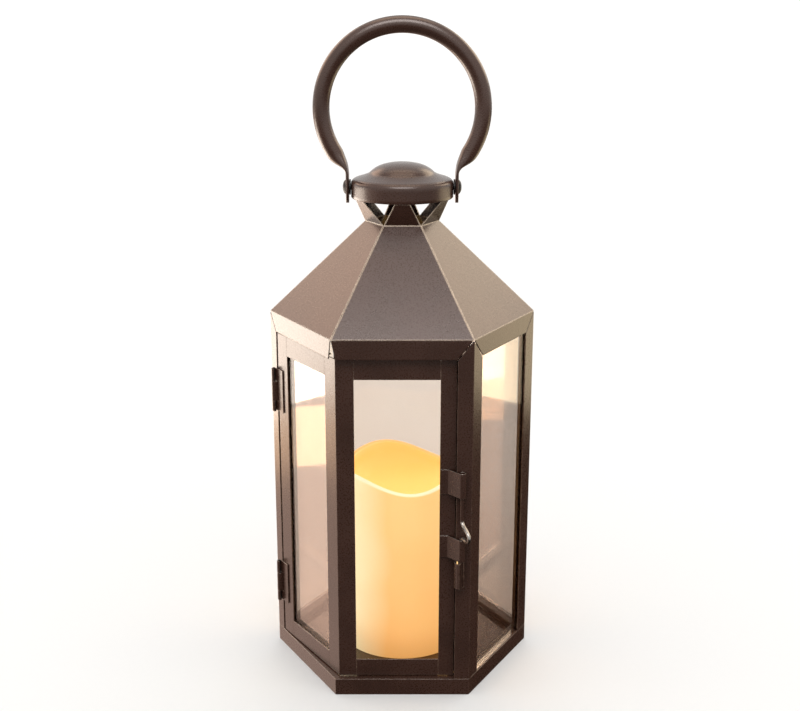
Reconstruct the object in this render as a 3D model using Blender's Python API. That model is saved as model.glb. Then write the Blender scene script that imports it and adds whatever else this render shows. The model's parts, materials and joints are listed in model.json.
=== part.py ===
"""Hexagonal metal candle lantern with a glazed two-panel door, a loop handle and an LED candle.

The lantern stands on z = 0, its axis is Z, and its front face looks towards -Y.
Sizes below are in millimetres; MM turns them into Blender's metres.
"""

import math

import bmesh
import bpy
from mathutils import Matrix, Vector

MM = 0.001
GAP = 0.3

# Six-sided body: corner radius, and the heights of its bands
CORNER_RADIUS = 105.0
APOTHEM = CORNER_RADIUS * math.cos(math.radians(30.0))
SHEET = 1.0
BASE_HEIGHT = 13.6
LEDGE_WIDTH = 10.0
FOOT_LIP_WIDTH = 6.0
FLOOR_APOTHEM = 88.6
FLOOR_TOP = 8.1
FASCIA_BOTTOM = 274.7
EAVE_HEIGHT = 290.0
POST_LEAF = 14.0
BACK_LEAF = 9.6
DOOR_STOP_DEPTH = 11.4
DOOR_STOP_WIDTH = 4.8
DOOR_SIDE_LEAF_LEFT = 9.9
DOOR_SIDE_LEAF_FRONT = 11.7

# Roof and the flared tabs that carry the cap
ROOF_SHEET = 0.8
ROOF_TOP_RADIUS = 29.0
ROOF_TOP_HEIGHT = 362.3
TAB_FLARE_APOTHEM = 37.6
TAB_FLARE_HEIGHT = 380.4
TAB_TOP_HEIGHT = 385.0
TAB_TOP_WIDTH = 12.0
FASCIA_CORNER_CUT = 3.0

# Cap: a spun pan with a vertical rim and a low dome
CAP_RIM_RADIUS = 39.6
CAP_PROFILE = ((39.6, 380.6), (39.6, 392.2), (39.0, 393.4), (36.9, 395.2), (35.4, 395.8), (25.8, 399.5),
               (24.6, 400.4), (22.0, 402.6), (16.5, 405.4), (9.0, 407.2), (0.0, 407.7))
CAP_SEGMENTS = 48

# Handle: a round tube bent to a loop, its ends pressed flat and riveted to the cap rim
HANDLE_TUBE_RADIUS = 6.5
HANDLE_LOOP_RADIUS = 61.9
HANDLE_LOOP_HEIGHT = 448.6
HANDLE_LOOP_END_ANGLE = math.radians(34.0)
HANDLE_PIVOT_HEIGHT = 388.5
HANDLE_TAB_X = 42.4
HANDLE_TAB_THICKNESS = 2.4
HANDLE_TAB_WIDTH = 17.6
HANDLE_TAB_REACH = 12.3
HANDLE_PINCH_LOW = 400.0
HANDLE_PINCH_HIGH = 415.0
RIVET_SHANK_RADIUS = 2.2
RIVET_HEAD_RADIUS = 5.5
WASHER_RADIUS = 6.0

# Glass
GLASS = 2.0
GLASS_BEHIND_LEAF = 5.0
FIXED_GLASS_TOP = 282.0
DOOR_GLASS_PANE_TOP = 268.5
RETAINER_SHEET = 0.6
RETAINER_FOOT = 3.8
RETAINER_STEP = 0.9
RETAINER_GRIP = 4.0

# Door: two panels meeting at the front left corner, flush at the hinge and set back at the front
DOOR_INSET = 5.0
DOOR_BOTTOM = 14.4
DOOR_TOP = 274.1
DOOR_GLASS_BOTTOM = 28.3
DOOR_GLASS_TOP = 258.1
DOOR_HINGE_EDGE = 11.6
DOOR_HINGE_INSET = 0.4
DOOR_STILE = 15.2
DOOR_CORNER_LEAF_LEFT = 15.8
DOOR_CORNER_LEAF_FRONT = 13.6
LATCH_STILE_LEFT = 28.4
LATCH_STILE_RIGHT = 40.3
DOOR_FLANGE = 6.0

# Butt hinges on the left corner post
HINGE_ALONG = 8.9
HINGE_OUT = 2.4
HINGE_PIN_RADIUS = 1.0
HINGE_CURL_RADIUS = 2.1
HINGE_SHEET = 0.8
HINGE_HEIGHT = 35.4
HINGE_LOWS = {"upper": 209.2, "lower": 41.5}
HINGE_KNUCKLES = (0.24, 0.70)
HINGE_LEAF_REACH = 20.0
HINGE_FIXED_REACH = 1.6

# Rod latch on the front of the door
LATCH_X = 45.0
LATCH_Y = -94.2
LATCH_WIRE_RADIUS = 1.5
LATCH_LOOP_RADIUS = 2.9
LOOP_FOOT = 6.2
LOOP_END_DEGREES = 485.0
LOOP_HEIGHTS = {"upper": (168.4, 188.0), "lower": (116.4, 134.2)}
CRANK_ANGLE = math.radians(-65.0)
CRANK_REACH = 13.4
CRANK_BEND_RADIUS = 1.8
CRANK_TOP = 147.6
CRANK_BOTTOM = 136.6
ROD_TOP = 186.4
ROD_BOTTOM = 94.4
TONGUE_HEIGHTS = (95.0, 115.6)
TONGUE_RADIUS = 5.6
TONGUE_WEB_ANGLE = math.radians(245.0)
TONGUE_TIP_ANGLE = math.radians(168.0)
KEEPER_NOTCH_DEPTH = 3.2
KEEPER_NOTCH_HEIGHTS = (93.0, 117.6)

# LED candle: a wax pillar that stands on the floor plate, hollow below, with its works inside
CANDLE_FOOT = FLOOR_TOP + GAP
CANDLE_RADIUS = 50.8
CANDLE_WALL = 5.0
CANDLE_RIM_HEIGHT = 158.6
CANDLE_WAVES = ((1, 2.4, 140.0), (2, 1.8, -22.0), (3, 4.1, -15.0))
CANDLE_BOWL_DEPTH = 26.0
CANDLE_BOWL_FLOOR = 4.5
CUP_WALL = 1.6
CUP_TOP = CANDLE_FOOT + 12.4
CHAMBER_RADIUS = 30.6
CHAMBER_TOP = CANDLE_FOOT + 61.4
CELL_RADIUS = 13.1
CELL_HEIGHT = 50.0
CELL_OFFSET = 14.2
CONTACT_SHEET = 0.5
SWITCH_KNOB = (5.0, 3.0)
SWITCH_TRAVEL = 4.0
SWITCH_Y = -38.2
LED_BOARD_HEIGHT = 112.0
BOARD_THICKNESS = 1.6
LED_RADIUS = 2.5


def polar(radius, angle):
    return Vector((radius * math.cos(angle), radius * math.sin(angle)))


def corner(index, radius=CORNER_RADIUS):
    """Corner of the hexagon; 0 is on +X and they run counter-clockwise seen from above."""
    return polar(radius, math.radians(60.0 * index))


def on_side(side, along, out):
    """Point on side 0..5, measured from its first corner along the side, and outwards from it."""
    start = corner(side)
    direction = (corner(side + 1) - start).normalized()
    outwards = Vector((direction.y, -direction.x))
    return start + direction * along + outwards * out


# Sides by name, in the order of on_side
BACK_RIGHT, BACK, BACK_LEFT, FRONT_LEFT, FRONT, FRONT_RIGHT = range(6)
SIDE_NAMES = ("back_right", "back", "back_left", "front_left", "front", "front_right")


def offset_line(points, distance):
    """Parallel line on the left of an open 2D line, with mitred corners."""
    result = []
    last = len(points) - 1
    for index, point in enumerate(points):
        before = points[index] - points[index - 1] if index > 0 else None
        after = points[index + 1] - points[index] if index < last else None
        before = (before or after).normalized()
        after = (after or before).normalized()
        left_before = Vector((-before.y, before.x))
        left_after = Vector((-after.y, after.x))
        bisector = (left_before + left_after).normalized()
        result.append(point + bisector * (distance / bisector.dot(left_after)))
    return result


def material(name, colour, metallic, roughness, alpha=1.0):
    finish = bpy.data.materials.new(name)
    finish.use_nodes = True
    shader = finish.node_tree.nodes["Principled BSDF"]
    shader.inputs["Base Color"].default_value = (*colour, 1.0)
    shader.inputs["Metallic"].default_value = metallic
    shader.inputs["Roughness"].default_value = roughness
    shader.inputs["Alpha"].default_value = alpha
    finish.diffuse_color = (*colour, alpha)
    return finish


FINISHES = {
    "bronze_paint": dict(colour=(0.060, 0.040, 0.031), metallic=0.75, roughness=0.38),
    "dark_hardware": dict(colour=(0.012, 0.011, 0.011), metallic=0.6, roughness=0.45),
    "bare_steel": dict(colour=(0.52, 0.50, 0.47), metallic=1.0, roughness=0.32),
    "clear_glass": dict(colour=(0.93, 0.90, 0.87), metallic=0.0, roughness=0.03, alpha=0.25),
    "cream_wax": dict(colour=(0.95, 0.78, 0.50), metallic=0.0, roughness=0.42),
    "black_plastic": dict(colour=(0.025, 0.025, 0.027), metallic=0.0, roughness=0.5),
    "warm_led": dict(colour=(0.98, 0.80, 0.42), metallic=0.0, roughness=0.2),
    "circuit_board": dict(colour=(0.04, 0.20, 0.09), metallic=0.0, roughness=0.45),
    "battery_jacket": dict(colour=(0.10, 0.12, 0.16), metallic=0.3, roughness=0.35),
    "spring_steel": dict(colour=(0.60, 0.58, 0.55), metallic=1.0, roughness=0.25),
}


def add_object(name, finish, bodies, smooth=False, pivot=None):
    """Make one object from closed bodies, each a pair of points (mm) and faces."""
    mesh = bpy.data.meshes.new(name)
    builder = bmesh.new()
    for points, faces in bodies:
        made = [builder.verts.new(Vector(point) * MM) for point in points]
        for face in faces:
            builder.faces.new([made[index] for index in face])
    bmesh.ops.recalc_face_normals(builder, faces=builder.faces)
    builder.to_mesh(mesh)
    builder.free()
    thing = bpy.data.objects.new(name, mesh)
    bpy.context.scene.collection.objects.link(thing)
    mesh.materials.append(material(f"{name}_{finish}", **FINISHES[finish]))
    if smooth:
        mesh.shade_smooth()
        mesh.set_sharp_from_angle(angle=math.radians(35.0))
    if pivot is not None:
        mesh.transform(Matrix.Translation(-world_place(pivot)))
        thing.parent = pivot
    return thing


def world_place(thing):
    """World location of an object whose parents are only moved, never turned or scaled."""
    place = thing.location.copy()
    while thing.parent:
        thing = thing.parent
        place += thing.location
    return place


def add_pivot(name, location, parent=None):
    """Empty on a joint's axis, at a world place in mm; the pieces that move there are its children."""
    pivot = bpy.data.objects.new(name, None)
    pivot.empty_display_size = 0.01
    pivot.location = Vector(location) * MM
    bpy.context.scene.collection.objects.link(pivot)
    if parent is not None:
        pivot.location -= world_place(parent)
        pivot.parent = parent
    return pivot


def loft(rings, wrap=False):
    """Closed body through rings of points; capped at both ends, or closed on itself."""
    count = len(rings[0])
    points = [point for ring in rings for point in ring]
    faces = []
    for ring in range(len(rings) if wrap else len(rings) - 1):
        here = ring * count
        there = (ring + 1) % len(rings) * count
        for index in range(count):
            following = (index + 1) % count
            faces.append((here + index, here + following, there + following, there + index))
    if not wrap:
        faces.append(tuple(range(count)))
        faces.append(tuple(range(len(points) - count, len(points))))
    return points, faces


def prism(outline, low, high):
    return loft([[(point[0], point[1], height) for point in outline] for height in (low, high)])


def disc(centre, radius, low, high, segments=24):
    """Upright cylinder as a prism."""
    outline = [Vector(centre) + polar(radius, math.tau * step / segments) for step in range(segments)]
    return prism(outline, low, high)


def rod_along_x(start, end, radius, y, z, segments=16):
    ring = [polar(radius, math.tau * step / segments) for step in range(segments)]
    return loft([[(x, y + point.x, z + point.y) for point in ring] for x in (start, end)])


def axis_faces(segments, count):
    """Faces between columns of points that start at point 0 and end at point 1 on the axis."""
    faces = []
    for step in range(segments):
        here = 2 + step * count
        there = 2 + (step + 1) % segments * count
        faces.append((0, here, there))
        faces.append((1, there + count - 1, here + count - 1))
        for index in range(count - 1):
            faces.append((here + index, here + index + 1, there + index + 1, there + index))
    return faces


def turned_to_axis(profile, segments):
    """Body of revolution whose open profile starts and ends on the axis."""
    inner = profile[1:-1]
    points = [(0.0, 0.0, profile[0][1]), (0.0, 0.0, profile[-1][1])]
    for step in range(segments):
        direction = polar(1.0, math.tau * step / segments)
        points += [(direction.x * radius, direction.y * radius, height) for radius, height in inner]
    return points, axis_faces(segments, len(inner))


def skin(outer, inner, missing=()):
    """Closed body between two grids of points; cells named in missing are left open."""
    columns, rows = len(outer), len(outer[0])
    points = [point for grid in (outer, inner) for column in grid for point in column]

    def number(layer, column, row):
        return layer * columns * rows + column * rows + row

    def present(column, row):
        return 0 <= column < columns - 1 and 0 <= row < rows - 1 and (column, row) not in missing

    faces = []
    for column in range(columns - 1):
        for row in range(rows - 1):
            if not present(column, row):
                continue
            ring = ((column, row), (column + 1, row), (column + 1, row + 1), (column, row + 1))
            neighbours = ((column, row - 1), (column + 1, row), (column, row + 1), (column - 1, row))
            for layer in (0, 1):
                faces.append(tuple(number(layer, *place) for place in ring))
            for edge, neighbour in enumerate(neighbours):
                if not present(*neighbour):
                    start, end = ring[edge], ring[(edge + 1) % 4]
                    faces.append((number(0, *start), number(0, *end), number(1, *end), number(1, *start)))
    used = sorted({index for face in faces for index in face})
    renumbered = {old: new for new, old in enumerate(used)}
    return [points[index] for index in used], [tuple(renumbered[i] for i in face) for face in faces]


def bent_sheet(line, thickness, rows, missing=()):
    """Upright folded sheet: line is its outer edge in plan, rows are its heights, bottom to top.

    The thickness lies on the left of the line. A row is one height, or one for each point.
    """
    inside = offset_line(line, thickness)

    def grid(points):
        return [[(point.x, point.y, row if isinstance(row, (int, float)) else row[index]) for row in rows]
                for index, point in enumerate(points)]

    return skin(grid(line), grid(inside), missing)


def hexagon_ring(section):
    """Band around the hexagon from a closed section of (apothem, height) points."""
    spread = 1.0 / math.cos(math.radians(30.0))
    rings = []
    for index in range(6):
        rings.append([(*corner(index, apothem * spread), height) for apothem, height in section])
    return loft(rings, wrap=True)


def make_base():
    top = BASE_HEIGHT
    ledge = APOTHEM - LEDGE_WIDTH
    lip_low = FLOOR_TOP + GAP
    section = ((APOTHEM, 0.0), (APOTHEM, top), (ledge, top), (ledge, lip_low), (ledge + SHEET, lip_low),
               (ledge + SHEET, top - SHEET), (APOTHEM - SHEET, top - SHEET), (APOTHEM - SHEET, SHEET),
               (APOTHEM - FOOT_LIP_WIDTH, SHEET), (APOTHEM - FOOT_LIP_WIDTH, 0.0))
    add_object("base_ring", "bronze_paint", [hexagon_ring(section)])
    outline = [corner(index, FLOOR_APOTHEM / math.cos(math.radians(30.0))) for index in range(6)]
    add_object("floor_plate", "bronze_paint", [prism(outline, FLOOR_TOP - SHEET, FLOOR_TOP)])


# Fixed corner posts: name, corner, and the leaf widths on the side before and after the corner
POSTS = (
    ("post_right", 0, POST_LEAF, POST_LEAF),
    ("post_back_right", 1, POST_LEAF, BACK_LEAF),
    ("post_back_left", 2, BACK_LEAF, POST_LEAF),
    ("post_left", 3, POST_LEAF, DOOR_SIDE_LEAF_LEFT),
    ("post_front_right", 5, DOOR_SIDE_LEAF_FRONT, POST_LEAF),
)


def make_posts():
    """Folded angles that end in an arrowhead between the fascias, with its tip at the eave.

    The front right one also folds back into a stop behind the door's latch edge.
    """
    foot = BASE_HEIGHT + GAP
    shoulder = FASCIA_BOTTOM - GAP
    tip = EAVE_HEIGHT - 3.0 * GAP
    for name, index, before, after in POSTS:
        line = [on_side(index - 1, CORNER_RADIUS - before, 0.0), corner(index), on_side(index, after, 0.0)]
        if name != "post_front_right":
            add_object(name, "bronze_paint", [bent_sheet(line, SHEET, [foot, (shoulder, tip, shoulder)])])
            continue
        edge = CORNER_RADIUS - before
        stop = [on_side(FRONT, edge - DOOR_STOP_WIDTH, -DOOR_STOP_DEPTH), on_side(FRONT, edge, -DOOR_STOP_DEPTH),
                on_side(FRONT, edge, -KEEPER_NOTCH_DEPTH)]
        line.insert(1, on_side(FRONT, edge + KEEPER_NOTCH_DEPTH, 0.0))
        slope = KEEPER_NOTCH_DEPTH / before
        top = (shoulder, shoulder, shoulder, shoulder, shoulder + (tip - shoulder) * slope, tip, shoulder)
        rows = [foot, *KEEPER_NOTCH_HEIGHTS, top]
        add_object(name, "bronze_paint", [bent_sheet(stop + line, SHEET, rows, missing={(2, 1), (3, 1)})])


def fascia_ends(side):
    """Width taken from each end of a fascia's lower edge: a post's leaf, or a small corner cut."""
    leaves = {index: (before, after) for _, index, before, after in POSTS}
    start = leaves[side % 6][1] if side % 6 in leaves else FASCIA_CORNER_CUT
    end = leaves[(side + 1) % 6][0] if (side + 1) % 6 in leaves else FASCIA_CORNER_CUT
    return start, end


def make_roof():
    """Six folded panels, each one fascia, slope and flared tab, meeting along the hips."""
    top_apothem = ROOF_TOP_RADIUS * math.cos(math.radians(30.0))
    profile = [Vector((APOTHEM, FASCIA_BOTTOM)), Vector((APOTHEM, EAVE_HEIGHT)),
               Vector((top_apothem, ROOF_TOP_HEIGHT)), Vector((TAB_FLARE_APOTHEM, TAB_FLARE_HEIGHT)),
               Vector((TAB_FLARE_APOTHEM, TAB_TOP_HEIGHT))]
    layers = (profile, offset_line(profile, ROOF_SHEET))
    for side, side_name in enumerate(SIDE_NAMES):
        start_cut, end_cut = fascia_ends(side)
        outwards = polar(1.0, math.radians(60.0 * side + 30.0))
        along = Vector((-outwards.y, outwards.x))
        grids = []
        for line in layers:
            hip = [point.x * math.tan(math.radians(30.0)) - GAP / 2.0 for point in line[:3]]
            halves = [(hip[0] - start_cut - GAP, hip[0] - end_cut - GAP), (hip[1], hip[1]), (hip[2], hip[2]),
                      (TAB_TOP_WIDTH / 2.0, TAB_TOP_WIDTH / 2.0), (TAB_TOP_WIDTH / 2.0, TAB_TOP_WIDTH / 2.0)]
            edges = ([], [])
            for point, (start_half, end_half) in zip(line, halves):
                middle = outwards * point.x
                edges[0].append((*(middle - along * start_half), point.y))
                edges[1].append((*(middle + along * end_half), point.y))
            grids.append(list(edges))
        add_object(f"roof_panel_{side_name}", "bronze_paint", [skin(*grids)])


def use_cutter(target, cutter, name):
    cutter.hide_render = True
    cutter.display_type = "WIRE"
    cut = target.modifiers.new(name, "BOOLEAN")
    cut.operation = "DIFFERENCE"
    cut.solver = "EXACT"
    cut.object = cutter


def bore(target, side_name, start, end):
    """Cut the rivet hole along X through one side of an object."""
    hole = rod_along_x(start, end, RIVET_SHANK_RADIUS + GAP, 0.0, HANDLE_PIVOT_HEIGHT)
    cutter = add_object(f"{target.name}_{side_name}_rivet_cutter", "bare_steel", [hole])
    use_cutter(target, cutter, f"{side_name} rivet hole")


def make_cap():
    outside = [Vector(point) for point in CAP_PROFILE]
    inside = offset_line(outside, SHEET)
    inside[-1].x = 0.0
    profile = [tuple(point) for point in reversed(outside)] + [tuple(point) for point in inside]
    cap = add_object("cap", "bronze_paint", [turned_to_axis(profile, CAP_SEGMENTS)], smooth=True)
    for sign, side_name in ((-1.0, "left"), (1.0, "right")):
        bore(cap, side_name, sign * (CAP_RIM_RADIUS - 4.0), sign * (CAP_RIM_RADIUS + 2.0))


def handle_path():
    """Centreline of the handle from the left tab, over the loop, to the right tab, in the XZ plane."""
    angle = HANDLE_LOOP_END_ANGLE
    join = Vector((HANDLE_LOOP_RADIUS * math.cos(angle), HANDLE_LOOP_HEIGHT - HANDLE_LOOP_RADIUS * math.sin(angle)))
    tab_low = Vector((HANDLE_TAB_X, HANDLE_PIVOT_HEIGHT - HANDLE_TAB_REACH))
    tab_high = Vector((HANDLE_TAB_X, HANDLE_PINCH_LOW - 2.0))
    tangent = Vector((math.sin(angle), math.cos(angle)))
    reach = 0.4 * (join - tab_high).length
    controls = (tab_high, tab_high + Vector((0.0, reach)), join - tangent * reach, join)
    right = [tab_low + Vector((0.0, HANDLE_TAB_WIDTH / 2.0 * (1.0 - math.cos(math.radians(step)))))
             for step in (8.0, 30.0, 60.0, 90.0)]
    right.append(tab_low + Vector((0.0, HANDLE_TAB_REACH)))
    for step in range(7):
        blend = step / 7.0
        weights = ((1.0 - blend) ** 3, 3.0 * blend * (1.0 - blend) ** 2, 3.0 * blend ** 2 * (1.0 - blend), blend ** 3)
        right.append(sum((point * weight for point, weight in zip(controls, weights)), Vector((0.0, 0.0))))
    steps = 20
    sweep = (math.pi / 2.0 + angle) / steps
    for step in range(steps):
        turn = -angle + sweep * step
        right.append(Vector((HANDLE_LOOP_RADIUS * math.cos(turn),
                             HANDLE_LOOP_HEIGHT + HANDLE_LOOP_RADIUS * math.sin(turn))))
    top = Vector((0.0, HANDLE_LOOP_HEIGHT + HANDLE_LOOP_RADIUS))
    left = [Vector((-point.x, point.y)) for point in right]
    return left + [top] + right[::-1]


def handle_section(height):
    """Half width along Y and half thickness of the tube at a height on its centreline."""
    low = HANDLE_PIVOT_HEIGHT - HANDLE_TAB_REACH
    if height >= HANDLE_PINCH_HIGH:
        return HANDLE_TUBE_RADIUS, HANDLE_TUBE_RADIUS
    round_end = HANDLE_TAB_WIDTH / 2.0
    if height < low + round_end:
        rise = low + round_end - height
        return max(math.sqrt(max(round_end ** 2 - rise ** 2, 0.0)), 0.5), HANDLE_TAB_THICKNESS / 2.0
    blend = min(max((height - HANDLE_PINCH_LOW) / (HANDLE_PINCH_HIGH - HANDLE_PINCH_LOW), 0.0), 1.0)
    blend = blend * blend * (3.0 - 2.0 * blend)
    width = HANDLE_TAB_WIDTH / 2.0 * (1.0 - blend) + HANDLE_TUBE_RADIUS * blend
    thickness = HANDLE_TAB_THICKNESS / 2.0 * (1.0 - blend) + HANDLE_TUBE_RADIUS * blend
    return width, thickness


def make_handle():
    path = handle_path()
    sides = 14
    rings = []
    for index, point in enumerate(path):
        ahead = path[min(index + 1, len(path) - 1)] - path[max(index - 1, 0)]
        ahead.normalize()
        across = Vector((-ahead.y, ahead.x))
        width, thickness = handle_section(point.y)
        flatness = 1.0 - min(thickness / HANDLE_TUBE_RADIUS, 1.0)
        ring = []
        for step in range(sides):
            turn = math.tau * (step + 0.5) / sides
            squareness = 1.0 - 0.65 * flatness
            side = math.copysign(abs(math.cos(turn)) ** squareness, math.cos(turn)) * width
            out = math.copysign(abs(math.sin(turn)) ** squareness, math.sin(turn)) * thickness
            ring.append((point.x + across.x * out, side, point.y + across.y * out))
        rings.append(ring)
    pivot = add_pivot("handle_pivot", (0.0, 0.0, HANDLE_PIVOT_HEIGHT))
    handle = add_object("handle", "bronze_paint", [loft(rings)], smooth=True, pivot=pivot)
    for sign, side_name in ((-1.0, "left"), (1.0, "right")):
        bore(handle, side_name, sign * (HANDLE_TAB_X - 4.0), sign * (HANDLE_TAB_X + 5.0))


def make_rivets():
    """One rivet and one spacing washer on each side, through the rim and the handle's tab."""
    washer_in = CAP_RIM_RADIUS + GAP
    tab_in = HANDLE_TAB_X - HANDLE_TAB_THICKNESS / 2.0
    tab_out = HANDLE_TAB_X + HANDLE_TAB_THICKNESS / 2.0
    head_in = tab_out + GAP
    tail_out = CAP_RIM_RADIUS - SHEET - 0.7
    steps = 18
    for sign, name in ((-1.0, "left"), (1.0, "right")):
        stations = ((tail_out - 1.6, 2.4), (tail_out - 1.2, 3.6), (tail_out, 4.0), (tail_out, RIVET_SHANK_RADIUS),
                    (head_in, RIVET_SHANK_RADIUS), (head_in, RIVET_HEAD_RADIUS), (head_in + 0.9, 5.2),
                    (head_in + 1.8, 3.9), (head_in + 2.2, 1.8))
        rings = []
        for x, radius in stations:
            ring = [polar(radius, math.tau * step / steps) for step in range(steps)]
            rings.append([(sign * x, point.x, HANDLE_PIVOT_HEIGHT + point.y) for point in ring])
        add_object(f"handle_rivet_{name}", "dark_hardware", [loft(rings)], smooth=True)
        hole = RIVET_SHANK_RADIUS + GAP
        section = ((washer_in, hole), (washer_in, WASHER_RADIUS), (tab_in - GAP, WASHER_RADIUS), (tab_in - GAP, hole))
        rings = []
        for step in range(24):
            direction = polar(1.0, math.tau * step / 24)
            rings.append([(sign * x, direction.x * radius, HANDLE_PIVOT_HEIGHT + direction.y * radius)
                          for x, radius in section])
        add_object(f"pivot_washer_{name}", "dark_hardware", [loft(rings, wrap=True)], smooth=True)


def make_glass_pane(name, start, end, inwards, low, high, pivot=None):
    """Flat pane between two points of its outer face, and the stepped retainer over its sides and top."""
    outline = [start, end, end + inwards * GLASS, start + inwards * GLASS]
    add_object(f"{name}_glass", "clear_glass", [prism(outline, low, high)], pivot=pivot)

    way = (end - start).normalized()
    on_pane = GLASS + GAP
    section = ((RETAINER_FOOT, 0.0), (RETAINER_STEP, 0.0), (RETAINER_STEP, on_pane), (-RETAINER_GRIP, on_pane),
               (-RETAINER_GRIP, on_pane + RETAINER_SHEET), (RETAINER_STEP + RETAINER_SHEET, on_pane + RETAINER_SHEET),
               (RETAINER_STEP + RETAINER_SHEET, RETAINER_SHEET), (RETAINER_FOOT, RETAINER_SHEET))
    stations = ((start, -1.0, low, 0.0), (start, -1.0, high, 1.0), (end, 1.0, high, 1.0), (end, 1.0, low, 0.0))
    rings = []
    for edge, side, height, rise in stations:
        rings.append([(*(edge + way * side * across + inwards * depth), height + rise * across)
                      for across, depth in section])
    add_object(f"{name}_glass_retainer", "bronze_paint", [loft(rings)], pivot=pivot)


def make_fixed_glass():
    depth = -(SHEET + GAP)
    for side in (FRONT_RIGHT, BACK_RIGHT, BACK, BACK_LEFT):
        margin = (BACK_LEAF if side == BACK else POST_LEAF) - GLASS_BEHIND_LEAF
        start = on_side(side, margin, depth)
        end = on_side(side, CORNER_RADIUS - margin, depth)
        inwards = on_side(side, 0.0, -1.0) - on_side(side, 0.0, 0.0)
        make_glass_pane(SIDE_NAMES[side], start, end, inwards, BASE_HEIGHT + GAP, FIXED_GLASS_TOP)


def door_plan():
    """Outer face of the door in plan: hinge edge, front left corner and latch edge."""
    hinge_edge = on_side(FRONT_LEFT, DOOR_HINGE_EDGE, -DOOR_HINGE_INSET)
    bend = Vector((corner(4, CORNER_RADIUS - DOOR_INSET / math.cos(math.radians(30.0))).x, -APOTHEM + DOOR_INSET))
    return hinge_edge, bend, Vector((LATCH_STILE_RIGHT, bend.y))


def make_rail(name, start, end, inwards, low, high, flange_at_top, pivot):
    """Folded rail: a face strip with a return flange along its outer edge."""
    if flange_at_top:
        section = [(0.0, low), (0.0, high), (DOOR_FLANGE, high), (DOOR_FLANGE, high - SHEET), (SHEET, high - SHEET),
                   (SHEET, low)]
    else:
        section = [(0.0, low), (0.0, high), (SHEET, high), (SHEET, low + SHEET), (DOOR_FLANGE, low + SHEET),
                   (DOOR_FLANGE, low)]
    rings = [[(*(point + inwards * depth), height) for depth, height in section] for point in (start, end)]
    add_object(name, "bronze_paint", [loft(rings)], pivot=pivot)


def make_door(pivot):
    hinge_edge, bend, latch_edge = door_plan()
    left_way = (bend - hinge_edge).normalized()
    left_in = Vector((-left_way.y, left_way.x))
    front_in = Vector((0.0, 1.0))
    front_way = Vector((1.0, 0.0))
    heights = [DOOR_BOTTOM, DOOR_TOP]

    flange_end = hinge_edge + left_in * DOOR_FLANGE
    stile_end = hinge_edge + left_way * DOOR_STILE
    add_object("door_hinge_stile", "bronze_paint",
               [bent_sheet([flange_end, hinge_edge, stile_end], SHEET, heights)], pivot=pivot)
    corner_start = bend - left_way * DOOR_CORNER_LEAF_LEFT
    corner_end = bend + front_way * DOOR_CORNER_LEAF_FRONT
    add_object("door_corner_post", "bronze_paint",
               [bent_sheet([corner_start, bend, corner_end], SHEET, heights)], pivot=pivot)
    stile_start = Vector((LATCH_STILE_LEFT, latch_edge.y))
    add_object("door_latch_stile", "bronze_paint",
               [bent_sheet([stile_start, latch_edge, latch_edge + front_in * DOOR_FLANGE], SHEET, heights)],
               pivot=pivot)

    for panel, start, end, inwards in (("left", stile_end + left_way * GAP, corner_start - left_way * GAP, left_in),
                                       ("front", corner_end + front_way * GAP, stile_start - front_way * GAP,
                                        front_in)):
        make_rail(f"door_{panel}_top_rail", start, end, inwards, DOOR_GLASS_TOP, DOOR_TOP, True, pivot)
        make_rail(f"door_{panel}_bottom_rail", start, end, inwards, DOOR_BOTTOM, DOOR_GLASS_BOTTOM, False, pivot)

    depth = SHEET + GAP
    low = DOOR_BOTTOM + SHEET + GAP
    start = hinge_edge + left_way * (DOOR_STILE - GLASS_BEHIND_LEAF) + left_in * depth
    end = bend - left_way * (DOOR_CORNER_LEAF_LEFT - GLASS_BEHIND_LEAF) + left_in * depth
    make_glass_pane("door_left", start, end, left_in, low, DOOR_GLASS_PANE_TOP, pivot=pivot)
    start = bend + front_way * (DOOR_CORNER_LEAF_FRONT - GLASS_BEHIND_LEAF) + front_in * depth
    end = Vector((LATCH_STILE_LEFT + GLASS_BEHIND_LEAF, start.y))
    make_glass_pane("door_front", start, end, front_in, low, DOOR_GLASS_PANE_TOP, pivot=pivot)


def arc(centre, radius, start, end, steps):
    """Points on an arc between two angles, both ends included."""
    return [Vector(centre) + polar(radius, start + (end - start) * step / steps) for step in range(steps + 1)]


def hinge_point(along, out):
    return on_side(FRONT_LEFT, along, out)


def curl(radius, start_degrees, end_degrees):
    """One side of a hinge knuckle, as angles in the plane along and out from the side."""
    turns = arc((HINGE_ALONG, HINGE_OUT), radius, math.radians(start_degrees), math.radians(end_degrees), 12)
    return [hinge_point(*point) for point in turns]


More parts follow.
